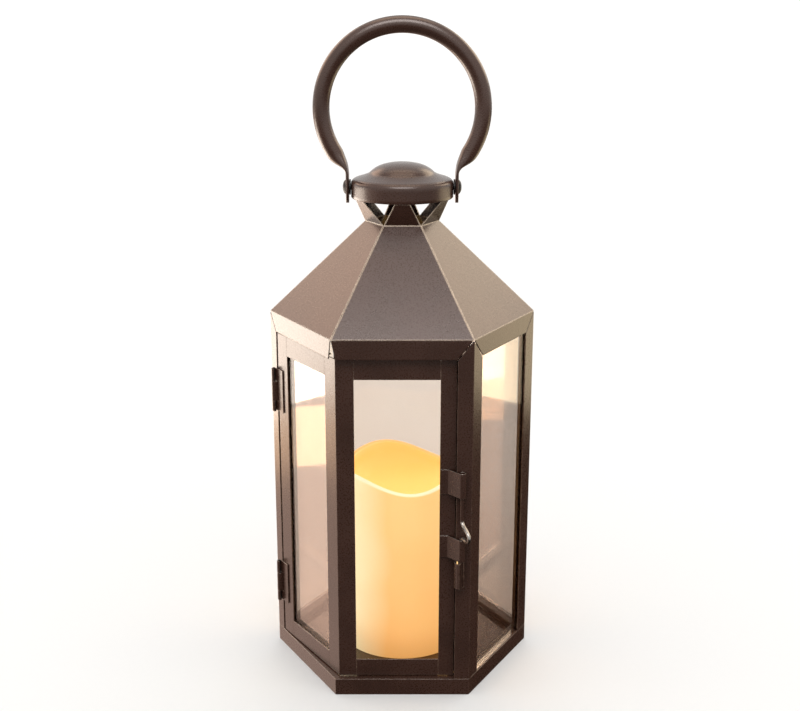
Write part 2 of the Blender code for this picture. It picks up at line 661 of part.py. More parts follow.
def make_hinges(pivot):
    """Two butt hinges: the fixed leaf passes behind the post's leaf, the door's leaf lies on the stile."""
    hinge_edge, bend, _ = door_plan()
    left_way = (bend - hinge_edge).normalized()
    left_out = Vector((left_way.y, -left_way.x))
    inner_radius = HINGE_CURL_RADIUS - HINGE_SHEET
    for name, low in HINGE_LOWS.items():
        high = low + HINGE_HEIGHT
        middle_low, middle_high = (low + HINGE_HEIGHT * share for share in HINGE_KNUCKLES)

        plate_depth = -(SHEET + GAP)
        line = [hinge_point(HINGE_FIXED_REACH, plate_depth), hinge_point(HINGE_ALONG + inner_radius, plate_depth)]
        line += curl(inner_radius, 0.0, 290.0)
        rows = [low, middle_low + GAP / 2.0, middle_high - GAP / 2.0, high]
        missing = {(column, row) for column in range(1, len(line) - 1) for row in (0, 2)}
        add_object(f"hinge_{name}_fixed_leaf", "bronze_paint", [bent_sheet(line, HINGE_SHEET, rows, missing)])

        far = hinge_edge + left_way * (HINGE_LEAF_REACH - DOOR_HINGE_EDGE) + left_out * GAP
        near = hinge_edge + left_way * 1.2 + left_out * GAP
        line = [far, near] + curl(HINGE_CURL_RADIUS, -90.0, -340.0)
        rows = [low, middle_low - GAP / 2.0, middle_high + GAP / 2.0, high]
        missing = {(column, 1) for column in range(1, len(line) - 1)}
        add_object(f"hinge_{name}_door_leaf", "bronze_paint",
                   [bent_sheet(line, HINGE_SHEET, rows, missing)], pivot=pivot)

        centre = hinge_point(HINGE_ALONG, HINGE_OUT)
        add_object(f"hinge_{name}_pin", "dark_hardware",
                   [disc(centre, HINGE_PIN_RADIUS, low - 0.6, high + 0.6, 12)], smooth=True)


def rounded(points, radius, steps=5):
    """Open 2D line with every inner corner replaced by an arc."""
    result = [points[0]]
    for before, here, after in zip(points, points[1:], points[2:]):
        towards = (here - before).normalized()
        away = (after - here).normalized()
        turn = towards.angle_signed(away)
        length = radius * math.tan(abs(turn) / 2.0)
        start = here - towards * length
        side = 1.0 if towards.x * away.y - towards.y * away.x > 0.0 else -1.0
        centre = start + Vector((-towards.y, towards.x)) * radius * side
        spoke = start - centre
        for step in range(steps + 1):
            result.append(centre + Matrix.Rotation(side * abs(turn) * step / steps, 2) @ spoke)
    return result + [points[-1]]


def make_latch(door_pivot):
    """Two strap loops on the door's stile, and the bent rod with its hooked tongue that turns in them."""
    centre = Vector((LATCH_X, LATCH_Y))
    face = -APOTHEM + DOOR_INSET - GAP - SHEET
    strap = Vector((LATCH_STILE_LEFT, face))
    bend = Vector((LATCH_STILE_LEFT + LOOP_FOOT, face))
    away = bend - centre
    tangent = math.atan2(away.y, away.x) + math.acos(LATCH_LOOP_RADIUS / away.length)
    loop = arc(centre, LATCH_LOOP_RADIUS, tangent, math.radians(LOOP_END_DEGREES), 14)
    for name, heights in LOOP_HEIGHTS.items():
        add_object(f"latch_loop_{name}", "bronze_paint", [bent_sheet([strap, bend] + loop, SHEET, heights)],
                   pivot=door_pivot)

    pivot = add_pivot("latch_pivot", (LATCH_X, LATCH_Y, 0.0), parent=door_pivot)
    make_latch_rod(centre, pivot)
    inner = LATCH_WIRE_RADIUS + GAP
    wrap = arc(centre, inner + HINGE_SHEET, TONGUE_WEB_ANGLE - math.radians(290.0), TONGUE_WEB_ANGLE, 12)
    hook = arc(centre, TONGUE_RADIUS - HINGE_SHEET, TONGUE_WEB_ANGLE, TONGUE_TIP_ANGLE, 7)
    add_object("latch_tongue", "bronze_paint", [bent_sheet(wrap + hook, HINGE_SHEET, TONGUE_HEIGHTS)], pivot=pivot)


def make_latch_rod(centre, pivot):
    """Round rod with a cranked finger grip between the two loops."""
    out = polar(1.0, CRANK_ANGLE)
    sideways = Vector((-out.y, out.x))
    corners = [Vector((0.0, ROD_TOP)), Vector((0.0, CRANK_TOP)), Vector((CRANK_REACH, CRANK_BOTTOM)),
               Vector((0.0, CRANK_BOTTOM)), Vector((0.0, ROD_BOTTOM))]
    route = rounded(corners, CRANK_BEND_RADIUS)
    steps = 10
    rings = []
    for index, (reach, height) in enumerate(route):
        ahead = (route[min(index + 1, len(route) - 1)] - route[max(index - 1, 0)]).normalized()
        across = Vector((-ahead.y, ahead.x))
        ring = []
        for step in range(steps):
            around = polar(LATCH_WIRE_RADIUS, math.tau * step / steps)
            place = centre + out * (reach + across.x * around.x) + sideways * around.y
            ring.append((place.x, place.y, height + across.y * around.x))
        rings.append(ring)
    add_object("latch_rod", "bare_steel", [loft(rings)], smooth=True, pivot=pivot)


def candle_rim_height(angle):
    """The candle's rim rises and falls like wax that has melted unevenly."""
    return CANDLE_RIM_HEIGHT + sum(height * math.cos(count * (angle - math.radians(phase)))
                                   for count, height, phase in CANDLE_WAVES)


def make_candle():
    """Wax shell with a bowl on top and a hollow below, on a round plastic base."""
    floor = CANDLE_FOOT
    bowl = CANDLE_RIM_HEIGHT - CANDLE_BOWL_DEPTH
    radius = CANDLE_RADIUS
    hollow = radius - CANDLE_WALL
    segments = 40
    points = [(0.0, 0.0, bowl), (0.0, 0.0, bowl - CANDLE_BOWL_FLOOR)]
    for step in range(segments):
        angle = math.tau * step / segments
        rim = candle_rim_height(angle)
        wave = rim - CANDLE_RIM_HEIGHT
        column = ((24.0, bowl + 0.6), (36.0, bowl + 4.5), (43.0, bowl + 13.0 + 0.4 * wave), (radius - 4.4, rim - 4.0),
                  (radius - 3.0, rim - 0.6), (radius - 1.6, rim), (radius - 0.4, rim - 1.0), (radius, rim - 3.0),
                  (radius, floor + 1.2), (radius - 1.0, floor), (hollow, floor), (hollow, bowl - 8.0),
                  (hollow - 8.0, bowl - CANDLE_BOWL_FLOOR))
        direction = polar(1.0, angle)
        points += [(direction.x * out, direction.y * out, height) for out, height in column]
    pivot = add_pivot("candle_pivot", (0.0, 0.0, floor))
    add_object("candle_wax", "cream_wax", [(points, axis_faces(segments, len(column)))], smooth=True, pivot=pivot)

    cup_low = floor + 0.6
    deck = cup_low + CUP_WALL
    profile = ((0.0, CHAMBER_TOP), (CHAMBER_RADIUS + CUP_WALL, CHAMBER_TOP), (CHAMBER_RADIUS + CUP_WALL, deck),
               (hollow - GAP - CUP_WALL, deck), (hollow - GAP - CUP_WALL, CUP_TOP), (hollow - GAP, CUP_TOP),
               (hollow - GAP, cup_low), (CHAMBER_RADIUS, cup_low), (CHAMBER_RADIUS, CHAMBER_TOP - CUP_WALL),
               (0.0, CHAMBER_TOP - CUP_WALL))
    cup = add_object("candle_base", "black_plastic", [turned_to_axis(profile, 40)], smooth=True, pivot=pivot)
    half_slot = Vector(((SWITCH_KNOB[0] + SWITCH_TRAVEL) / 2.0 + GAP, SWITCH_KNOB[1] / 2.0 + GAP))
    slot_middle = Vector((SWITCH_TRAVEL / 2.0, SWITCH_Y))
    cut_box(cup, "switch_slot", slot_middle - half_slot, slot_middle + half_slot, cup_low - 2.0, deck + 2.0)
    make_batteries(cup_low, deck, pivot)
    make_led(pivot)


def box(low_corner, high_corner, low, high):
    outline = [low_corner, (high_corner[0], low_corner[1]), high_corner, (low_corner[0], high_corner[1])]
    return prism(outline, low, high)


def cut_box(target, name, low_corner, high_corner, low, high):
    cutter = add_object(f"{target.name}_{name}_cutter", "black_plastic", [box(low_corner, high_corner, low, high)])
    use_cutter(target, cutter, name)


def make_batteries(cup_low, deck, pivot):
    """Twist-off cover with its contact bar, two cells with their springs, and the slide switch."""
    cover = add_object("battery_cover", "black_plastic",
                       [disc((0.0, 0.0), CHAMBER_RADIUS - GAP, cup_low, deck, 40)], smooth=True, pivot=pivot)
    cut_box(cover, "coin_slot", (-9.0, -1.3), (9.0, 1.3), cup_low - 1.0, cup_low + 0.8)
    cell_low = deck + 2.0 * GAP + CONTACT_SHEET
    cell_high = cell_low + CELL_HEIGHT
    bar = box((-CELL_OFFSET - 6.0, -4.0), (CELL_OFFSET + 6.0, 4.0), deck + GAP, deck + GAP + CONTACT_SHEET)
    add_object("battery_contact", "spring_steel", [bar], pivot=pivot)
    cell = ((0.0, cell_high), (3.2, cell_high), (3.2, cell_high - 1.8), (CELL_RADIUS - 0.8, cell_high - 1.8),
            (CELL_RADIUS, cell_high - 2.6), (CELL_RADIUS, cell_low + 0.6), (CELL_RADIUS - 0.6, cell_low),
            (0.0, cell_low))
    for sign, name in ((-1.0, "left"), (1.0, "right")):
        points, faces = turned_to_axis(cell, 24)
        moved = [(x + sign * CELL_OFFSET, y, z) for x, y, z in points]
        add_object(f"battery_{name}", "battery_jacket", [(moved, faces)], smooth=True, pivot=pivot)
        spring = cone_spring((sign * CELL_OFFSET, 0.0), cell_high + 0.8, CHAMBER_TOP - CUP_WALL - GAP - 0.4)
        add_object(f"battery_spring_{name}", "spring_steel", [spring], smooth=True, pivot=pivot)

    knob_x, knob_y = SWITCH_KNOB[0] / 2.0, SWITCH_KNOB[1] / 2.0
    knob = box((-knob_x, SWITCH_Y - knob_y), (knob_x, SWITCH_Y + knob_y), cup_low + 0.2, deck + 1.5)
    add_object("switch_knob", "dark_hardware", [knob], pivot=pivot)


def make_led(pivot):
    """Board and bulb on a stalk that holds them just under the bowl."""
    stalk = ((0.0, LED_BOARD_HEIGHT - GAP), (4.0, LED_BOARD_HEIGHT - GAP), (5.0, CHAMBER_TOP + 8.0),
             (9.0, CHAMBER_TOP + GAP), (0.0, CHAMBER_TOP + GAP))
    add_object("led_stalk", "black_plastic", [turned_to_axis(stalk, 20)], smooth=True, pivot=pivot)
    board_top = LED_BOARD_HEIGHT + BOARD_THICKNESS
    add_object("led_board", "circuit_board", [disc((0.0, 0.0), 9.0, LED_BOARD_HEIGHT, board_top, 20)], pivot=pivot)
    low = board_top + GAP
    outline = [(LED_RADIUS * math.sin(math.radians(turn)), low + 5.2 + LED_RADIUS * math.cos(math.radians(turn)))
               for turn in (0.0, 30.0, 60.0, 90.0)]
    outline += [(LED_RADIUS, low + 1.0), (LED_RADIUS + 0.4, low + 1.0), (LED_RADIUS + 0.4, low), (0.0, low)]
    add_object("led_bulb", "warm_led", [turned_to_axis(outline, 16)], smooth=True, pivot=pivot)


def cone_spring(centre, low, high):
    """Conical coil spring from its small end at the bottom to its large end at the top."""
    turns, per_turn, sides, wire = 3, 10, 5, 0.4
    rings = []
    for index in range(turns * per_turn + 1):
        share = index / (turns * per_turn)
        angle = math.tau * index / per_turn
        radius = 2.2 + 3.6 * share
        height = low + (high - low) * share
        direction = polar(1.0, angle)
        rings.append([(centre[0] + direction.x * (radius + wire * math.cos(turn)),
                       centre[1] + direction.y * (radius + wire * math.cos(turn)), height + wire * math.sin(turn))
                      for turn in (math.tau * step / sides for step in range(sides))])
    return loft(rings)


def main():
    for thing in list(bpy.data.objects):
        bpy.data.objects.remove(thing)
    make_base()
    make_posts()
    make_roof()
    make_cap()
    make_handle()
    make_rivets()
    make_fixed_glass()
    door_pivot = add_pivot("door_pivot", (*hinge_point(HINGE_ALONG, HINGE_OUT), 0.0))
    make_door(door_pivot)
    make_hinges(door_pivot)
    make_latch(door_pivot)
    make_candle()


main()
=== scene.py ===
"""Looks of the candle lantern: finer pieces, materials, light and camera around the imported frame."""

import json
import math

import bmesh
import bpy
from mathutils import Matrix, Quaternion, Vector

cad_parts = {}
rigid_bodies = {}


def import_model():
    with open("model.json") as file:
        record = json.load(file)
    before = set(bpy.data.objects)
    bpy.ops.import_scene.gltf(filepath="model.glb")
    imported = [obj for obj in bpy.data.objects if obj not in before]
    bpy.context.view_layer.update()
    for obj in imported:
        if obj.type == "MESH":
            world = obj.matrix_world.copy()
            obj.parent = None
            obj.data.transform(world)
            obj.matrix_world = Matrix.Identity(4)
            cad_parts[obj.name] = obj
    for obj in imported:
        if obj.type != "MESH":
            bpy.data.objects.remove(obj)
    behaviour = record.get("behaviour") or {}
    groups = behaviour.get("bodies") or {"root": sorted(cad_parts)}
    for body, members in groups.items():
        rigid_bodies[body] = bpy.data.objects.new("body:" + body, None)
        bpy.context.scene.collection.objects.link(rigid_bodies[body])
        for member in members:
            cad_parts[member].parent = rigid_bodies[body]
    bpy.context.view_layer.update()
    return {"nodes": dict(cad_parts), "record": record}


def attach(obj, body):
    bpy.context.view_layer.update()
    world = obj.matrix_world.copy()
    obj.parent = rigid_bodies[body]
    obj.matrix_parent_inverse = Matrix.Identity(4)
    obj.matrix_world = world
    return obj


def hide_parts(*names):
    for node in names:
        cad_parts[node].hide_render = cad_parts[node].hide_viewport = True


for thing in list(bpy.data.objects):
    bpy.data.objects.remove(thing)

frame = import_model()
nodes = frame["nodes"]
slot_of = {part["node"]: part["material_slot"] for part in frame["record"]["subparts"]}
body_of = {node: body for body, members in frame["record"]["behaviour"]["bodies"].items() for node in members}
MM = 0.001
scene = bpy.context.scene

CAMERA_PLACE = (-0.0017, -0.96515, 0.52670)
CAMERA_TILT = 74.145
CAMERA_LENS = 56.09
SENSOR_WIDTH = 36.0
FLOOR_REACH = 14.0

# Heights on the lantern, in millimetres like every shape below; MM turns them into metres.
EAVE = 290.0
FASCIA_BOTTOM = 274.0
BARE_GRIP = (134.0, 149.5)

# Lamps: centre and aim in metres, width and height, radiance, colour, and roll about the aim in degrees.
MIDDLE = (0.0, 0.0, 0.22)
LAMPS = {
    "overhead": ((0.0, -1.03, 1.61), (0.0, -0.07, 0.33), (1.1, 0.72), 9.0, (1.0, 0.96, 0.96), 0.0),
    "ceiling": ((0.0, 0.25, 1.90), (0.0, 0.0, 0.4), (1.2, 0.8), 2.6, (1.0, 0.74, 0.52), 0.0),
    "left_cream": ((-0.45, 0.20, 0.205), (-0.07, -0.06, 0.20), (0.50, 0.25), 7.2, (1.0, 0.90, 0.78), 12.0),
    "left_amber": ((-0.45, 0.20, 0.040), (-0.07, -0.06, 0.15), (0.50, 0.07), 3.0, (1.0, 0.62, 0.33), 0.0),
    "left_high": ((-0.75, 0.60, 0.90), MIDDLE, (0.9, 0.6), 2.6, (1.0, 0.64, 0.43), 0.0),
    "right_low": ((0.45, 0.20, 0.215), (0.07, -0.06, 0.20), (0.50, 0.25), 2.3, (1.0, 0.83, 0.55), -12.0),
    "right_high": ((0.75, 0.60, 0.90), MIDDLE, (0.9, 0.6), 3.2, (1.0, 0.78, 0.53), 0.0),
}
WORLD_STRENGTH = 1.12
WORLD_WHITE = (1.0, 0.99, 0.975)
WORLD_WARM = (1.25, 0.92, 0.78)
WORLD_DARK = (0.03, 0.02, 0.015)
WARM_SIDE = (-0.82, 0.57, 0.0)

PAINT_DEEP = (0.0240, 0.0100, 0.0065)
PAINT_LIGHT = (0.031, 0.0135, 0.0090)
PAINT_FLAKE = (0.16, 0.105, 0.08)
PAINT_WORN_AND_LIT = (0.34, 0.24, 0.175)
EAVE_HIGHLIGHT = (0.64, 0.52, 0.40)
BARE_METAL = (0.27, 0.25, 0.23)


# ---------------------------------------------------------------- camera, floor and light

def add_camera():
    data = bpy.data.cameras.new("camera")
    data.lens = CAMERA_LENS
    data.sensor_width = SENSOR_WIDTH
    data.clip_start = 0.01
    camera = bpy.data.objects.new("camera", data)
    camera.location = CAMERA_PLACE
    camera.rotation_euler = (math.radians(CAMERA_TILT), 0.0, 0.0)
    scene.collection.objects.link(camera)
    scene.camera = camera


def add_lamp(name, centre, aim, size, radiance, colour, roll):
    """Rectangular lamp that faces a point; radiance is what a mirror would show of it."""
    data = bpy.data.lights.new(name, "AREA")
    data.shape = "RECTANGLE"
    data.size, data.size_y = size
    data.energy = radiance * math.pi * size[0] * size[1]
    data.color = colour
    lamp = bpy.data.objects.new(name, data)
    lamp.location = centre
    facing = (Vector(aim) - Vector(centre)).to_track_quat("-Z", "Y")
    lamp.rotation_euler = (facing @ Quaternion((0.0, 0.0, 1.0), math.radians(roll))).to_euler()
    lamp.visible_camera = False
    scene.collection.objects.link(lamp)
    return lamp


def keep_off_floor(lamp, floor):
    """The lamps shape the reflections; the floor is lit evenly by the white surroundings alone."""
    others = bpy.data.collections.new(f"not lit by {lamp.name}")
    others.objects.link(floor)
    others.collection_objects[0].light_linking.link_state = "EXCLUDE"
    lamp.light_linking.receiver_collection = others


def add_floor():
    reach = FLOOR_REACH
    corners = [(-reach, -reach, 0), (reach, -reach, 0), (reach, reach, 0), (-reach, reach, 0)]
    mesh = bpy.data.meshes.new("floor")
    mesh.from_pydata(corners, [], [(0, 1, 2, 3)])
    floor = bpy.data.objects.new("floor", mesh)
    floor.visible_glossy = False
    scene.collection.objects.link(floor)
    graph = Graph("studio_floor")
    grain = graph.noise(220.0, 4.0)
    graph.set("Base Color", graph.blend(grain, (0.93, 0.93, 0.93), (0.95, 0.95, 0.945)))
    graph.set("Roughness", 0.65)
    mesh.materials.append(graph.material)
    return floor


def add_world():
    """White above the horizon; below it, where only reflections look, a warm side and a dark side."""
    world = bpy.data.worlds.new("studio")
    world.use_nodes = True
    sky = NodeTree(world.node_tree)
    direction = sky.add("ShaderNodeTexCoord").outputs["Generated"]
    toward_warm = sky.dot(direction, WARM_SIDE)
    below = sky.blend(sky.spread(toward_warm, 0.2, 0.8), WORLD_DARK, WORLD_WARM)
    height = sky.axis("Z", direction)
    whole = sky.blend(sky.spread(height, -0.13, -0.05), below, WORLD_WHITE)
    background = world.node_tree.nodes["Background"]
    sky.join(whole, background.inputs["Color"])
    background.inputs["Strength"].default_value = WORLD_STRENGTH
    scene.world = world


def add_studio():
    floor = add_floor()
    add_world()
    for name, settings in LAMPS.items():
        keep_off_floor(add_lamp(name, *settings), floor)
    scene.view_settings.view_transform = "Standard"


# ---------------------------------------------------------------- materials

class NodeTree:
    """Short ways to add shader nodes and to link them."""

    def __init__(self, tree):
        self.tree = tree

    def add(self, kind, **settings):
        node = self.tree.nodes.new(kind)
        for key, value in settings.items():
            setattr(node, key, value)
        return node

    def join(self, value, target):
        """Link a socket, or write a number or a colour into the target."""
        if isinstance(value, bpy.types.NodeSocket):
            self.tree.links.new(value, target)
        elif isinstance(value, tuple):
            target.default_value = (*value, 1.0) if len(target.default_value) == 4 else value
        else:
            target.default_value = value

    def spread(self, value, low, high, to_low=0.0, to_high=1.0):
        """value from low..high to to_low..to_high, held at both ends."""
        node = self.add("ShaderNodeMapRange")
        for name, number in zip(("Value", "From Min", "From Max", "To Min", "To Max"),
                                (value, low, high, to_low, to_high)):
            self.join(number, node.inputs[name])
        return node.outputs["Result"]

    def maths(self, kind, first, second=0.0):
        node = self.add("ShaderNodeMath", operation=kind)
        self.join(first, node.inputs[0])
        self.join(second, node.inputs[1])
        return node.outputs["Value"]

    def dot(self, first, second):
        node = self.add("ShaderNodeVectorMath", operation="DOT_PRODUCT")
        self.join(first, node.inputs[0])
        self.join(second, node.inputs[1])
        return node.outputs["Value"]

    def blend(self, factor, first, second):
        node = self.add("ShaderNodeMix", data_type="RGBA")
        colours = [socket for socket in node.inputs if socket.type == "RGBA"]
        self.join(factor, node.inputs["Factor"])
        self.join(first, colours[0])
        self.join(second, colours[1])
        return next(socket for socket in node.outputs if socket.type == "RGBA")

    def axis(self, letter, vector):
        node = self.add("ShaderNodeSeparateXYZ")
        self.join(vector, node.inputs["Vector"])
        return node.outputs[letter]


class Graph(NodeTree):
    """A Principled material and the nodes that drive it."""

    def __init__(self, name):
        self.material = bpy.data.materials.new(name)
        self.material.use_nodes = True
        super().__init__(self.material.node_tree)
        self.shader = self.tree.nodes["Principled BSDF"]
        self.output = self.tree.nodes["Material Output"]
        self.place = self.add("ShaderNodeTexCoord").outputs["Object"]

    def set(self, name, value):
        self.join(value, self.shader.inputs[name])

    def noise(self, scale, detail=2.0, stretch=None, roughness=0.5):
        node = self.add("ShaderNodeTexNoise")
        node.inputs["Scale"].default_value = scale
        node.inputs["Detail"].default_value = detail
        node.inputs["Roughness"].default_value = roughness
        place = self.place
        if stretch:
            mapping = self.add("ShaderNodeMapping")
            mapping.inputs["Scale"].default_value = stretch
            self.join(place, mapping.inputs["Vector"])
            place = mapping.outputs["Vector"]
        self.join(place, node.inputs["Vector"])
        return node.outputs["Fac"]

    def along(self, letter):
        """Place on the piece, in metres, along one axis."""
        return self.axis(letter, self.place)

    def upwards(self):
        """1 where the surface looks up, 0 on upright faces."""
        return self.axis("Z", self.add("ShaderNodeNewGeometry").outputs["Normal"])

    def bump(self, height, strength, distance, normal=None):
        node = self.add("ShaderNodeBump")
        node.inputs["Strength"].default_value = strength
        node.inputs["Distance"].default_value = distance
        self.join(height, node.inputs["Height"])
        if normal:
            self.join(normal, node.inputs["Normal"])
        self.set("Normal", node.outputs["Normal"])

    def edge(self, radius):
        """1 at convex or concave edges, 0 on flats; also returns the rounded normal."""
        bevel = self.add("ShaderNodeBevel", samples=4)
        bevel.inputs["Radius"].default_value = radius
        rounded = bevel.outputs["Normal"]
        flatness = self.dot(rounded, self.add("ShaderNodeNewGeometry").outputs["Normal"])
        return self.spread(flatness, 0.995, 0.90), rounded


def bronze_paint(name="bronze_paint", seams=False, bare_top=False, bare_band=None, polished=False):
    """Dark brown powder coat with fine metal flake, lighter along its edges: partly rubbed wear, partly a
    painted highlight where edges catch the light.

    seams: a pale painted highlight along the roof's folds and hips above the eave. bare_top: no paint on cut
    edges that look up.
    bare_band: heights in millimetres between which the paint has come off. polished: a smoother coat.
    """
    graph = Graph(name)
    cloud = graph.noise(28.0, 3.0)
    speckle = graph.noise(2600.0, 2.0, roughness=0.7)
    colour = graph.blend(graph.spread(cloud, 0.35, 0.65), PAINT_DEEP, PAINT_LIGHT)
    colour = graph.blend(graph.spread(speckle, 0.58, 0.76, 0.0, 0.13), colour, PAINT_FLAKE)
    patches = graph.noise(160.0, 3.0)
    height = graph.along("Z")
    if seams:
        # Painted highlight: pale metal colour on the roof's edges above the eave, for the light lines its
        # folds and hips catch.
        at_edges, rounded = graph.edge(0.0014)
        where = graph.spread(height, (EAVE - 1.5) * MM, (EAVE - 0.5) * MM)
        amount = graph.spread(patches, 0.35, 0.60, 0.75, 1.0)
        worn_and_lit_colour = EAVE_HIGHLIGHT
    else:
        at_edges, rounded = graph.edge(0.0006)
        where = graph.spread(height, (FASCIA_BOTTOM + 0.5) * MM, (FASCIA_BOTTOM - 0.5) * MM)
        amount = graph.spread(patches, 0.38, 0.62, 0.08, 0.50)
        worn_and_lit_colour = PAINT_WORN_AND_LIT
    # Painted highlight and wear: lighter colour along the edges stands for both rubbed paint and the light
    # the edges catch.
    wear_and_highlight = graph.maths("MULTIPLY", graph.maths("MULTIPLY", at_edges, where), amount)
    colour = graph.blend(wear_and_highlight, colour, worn_and_lit_colour)
    bare = None
    if bare_top:
        bare = graph.spread(graph.upwards(), 0.6, 0.9)
    if bare_band:
        low, high = (edge * MM for edge in bare_band)
        above = graph.spread(height, low, low + MM)
        bare = graph.maths("MULTIPLY", above, graph.spread(height, high, high - MM))
    if bare:
        colour = graph.blend(bare, colour, BARE_METAL)
        graph.set("Metallic", bare)
    graph.set("Base Color", colour)
    smooth = 0.13 if polished else 0.24
    graph.set("Roughness", graph.spread(graph.noise(900.0, 2.0), 0.3, 0.7, smooth, smooth + 0.10))
    graph.set("Specular IOR Level", 0.9 if polished else 0.55)
    graph.set("Specular Tint", (1.0, 0.93, 0.89))
    peel = graph.maths("ADD", graph.noise(1100.0, 2.0), graph.maths("MULTIPLY", graph.noise(230.0, 1.0), 1.6))
    graph.bump(peel, 0.16, 0.00012, rounded)
    return graph.material


def dark_hardware():
    """Blackened rivets, washers and pins."""
    graph = Graph("dark_hardware")
    colour = graph.blend(graph.noise(700.0, 3.0), (0.004, 0.0035, 0.0035), (0.011, 0.0095, 0.009))
    graph.set("Base Color", colour)
    graph.set("Specular IOR Level", 0.2)
    graph.set("Roughness", graph.spread(graph.noise(500.0), 0.3, 0.7, 0.36, 0.5))
    graph.bump(graph.noise(1500.0), 0.12, 0.0001)
    return graph.material


def bare_steel(name="bare_steel", tint=(0.56, 0.53, 0.49)):
    """Drawn wire or sheet, with fine lines along its length."""
    graph = Graph(name)
    drawn = graph.noise(900.0, 3.0, stretch=(1.0, 1.0, 0.08))
    dark = tuple(channel * 0.55 for channel in tint)
    graph.set("Base Color", graph.blend(graph.spread(drawn, 0.35, 0.7), dark, tint))
    graph.set("Metallic", 1.0)
    graph.set("Roughness", graph.spread(drawn, 0.3, 0.7, 0.2, 0.38))
    graph.bump(drawn, 0.15, 0.00006)
    return graph.material


def clear_glass():
    """Pane with a warm tint and slow slanted zones, stronger towards the floor, under a plain mirror."""
    graph = Graph("clear_glass")
    slant = graph.maths("ADD", graph.along("Z"), graph.maths("MULTIPLY", graph.along("X"), 0.35))
    waves = graph.maths("MULTIPLY", graph.maths("SUBTRACT", graph.noise(7.0, 2.0), 0.5), 0.12)
    zone = graph.spread(graph.maths("ADD", slant, waves), 0.10, 0.22)
    smear = graph.spread(graph.noise(22.0, 3.0, stretch=(1.0, 1.0, 0.35)), 0.35, 0.7)
    low = graph.blend(smear, (0.915, 0.866, 0.826), (0.925, 0.880, 0.842))
    high = graph.blend(smear, (0.944, 0.908, 0.876), (0.952, 0.920, 0.890))
    through = graph.add("ShaderNodeBsdfTransparent")
    graph.join(graph.blend(zone, low, high), through.inputs["Color"])
    graph.set("Base Color", graph.blend(smear, (0.95, 0.93, 0.91), (0.98, 0.965, 0.95)))
    graph.set("Metallic", 1.0)
    graph.set("Roughness", graph.spread(smear, 0.0, 1.0, 0.03, 0.08))
    graph.bump(graph.noise(6.0, 1.0), 0.05, 0.0006)
    fresnel = graph.add("ShaderNodeFresnel")
    fresnel.inputs["IOR"].default_value = 1.5
    mirror = graph.maths("MULTIPLY", fresnel.outputs["Fac"], 0.36)
    mix = graph.add("ShaderNodeMixShader")
    graph.join(mirror, mix.inputs["Fac"])
    graph.tree.links.new(through.outputs["BSDF"], mix.inputs[1])
    graph.tree.links.new(graph.shader.outputs["BSDF"], mix.inputs[2])
    graph.tree.links.new(mix.outputs["Shader"], graph.output.inputs["Surface"])
    return graph.material


def cream_wax():
    """Wax with painted light in its emission: a glow from inside, creamy on its left where the left lamp
    falls, orange on its right, paler on the rim towards the front.
    """
    graph = Graph("cream_wax")
    height = graph.along("Z")
    cloud = graph.noise(26.0, 3.0)
    graph.set("Base Color", graph.blend(cloud, (0.50, 0.37, 0.21), (0.56, 0.43, 0.26)))
    graph.set("Roughness", graph.spread(graph.noise(120.0, 3.0), 0.3, 0.7, 0.34, 0.5))
    graph.set("Subsurface Weight", 0.35)
    graph.set("Subsurface Radius", (0.9, 0.5, 0.25))
    graph.set("Subsurface Scale", 0.012)
    graph.set("Coat Weight", 0.08)
    upwards = graph.upwards()
    squares = [graph.maths("MULTIPLY", graph.along(letter), graph.along(letter)) for letter in "XY"]
    radius = graph.maths("SQRT", graph.maths("ADD", *squares))
    inside = graph.spread(radius, 0.0478, 0.0455)
    on_rim = graph.maths("MULTIPLY", graph.spread(upwards, 0.15, 0.7), graph.spread(radius, 0.0455, 0.0468))
    drift = graph.maths("MULTIPLY", graph.maths("SUBTRACT", graph.noise(14.0, 2.0), 0.5), 0.03)
    # Painted light: the side glow runs from cream on the left, where the left lamp falls, to orange on the
    # right, and turns paler higher up.
    across = graph.spread(graph.maths("ADD", graph.along("X"), drift), -0.044, -0.012)
    upper = graph.blend(across, (0.95, 0.95, 0.66), (0.87, 0.56, 0.205))
    lower = graph.blend(across, (0.95, 0.90, 0.58), (0.87, 0.45, 0.13))
    side = graph.blend(graph.spread(graph.maths("ADD", height, drift), 0.015, 0.12), lower, upper)
    # Painted glow in the bowl: yellow where it faces up, orange on its walls.
    bowl = graph.blend(graph.spread(upwards, 0.05, 0.95), (0.86, 0.43, 0.09), (0.94, 0.68, 0.17))
    # Painted glow on the rim: pale at the front, orange at the back.
    front_to_back = graph.spread(graph.along("Y"), -0.03, 0.02)
    rim = graph.blend(front_to_back, (0.98, 0.92, 0.68), (0.86, 0.52, 0.17))
    glow = graph.blend(inside, side, bowl)
    graph.set("Emission Color", graph.blend(on_rim, glow, rim))
    # Painted glow, stronger higher up the candle.
    graph.set("Emission Strength", graph.spread(height, 0.008, 0.035, 0.86, 1.06))
    graph.bump(graph.noise(60.0, 3.0), 0.10, 0.0006)
    return graph.material


def plastic(name, dark, light, roughness, grain=1400.0):
    graph = Graph(name)
    graph.set("Base Color", graph.blend(graph.noise(grain * 0.2, 3.0), dark, light))
    graph.set("Roughness", graph.spread(graph.noise(grain), 0.3, 0.7, roughness - 0.06, roughness + 0.08))
    graph.bump(graph.noise(grain, 2.0), 0.15, 0.0001)
    return graph.material


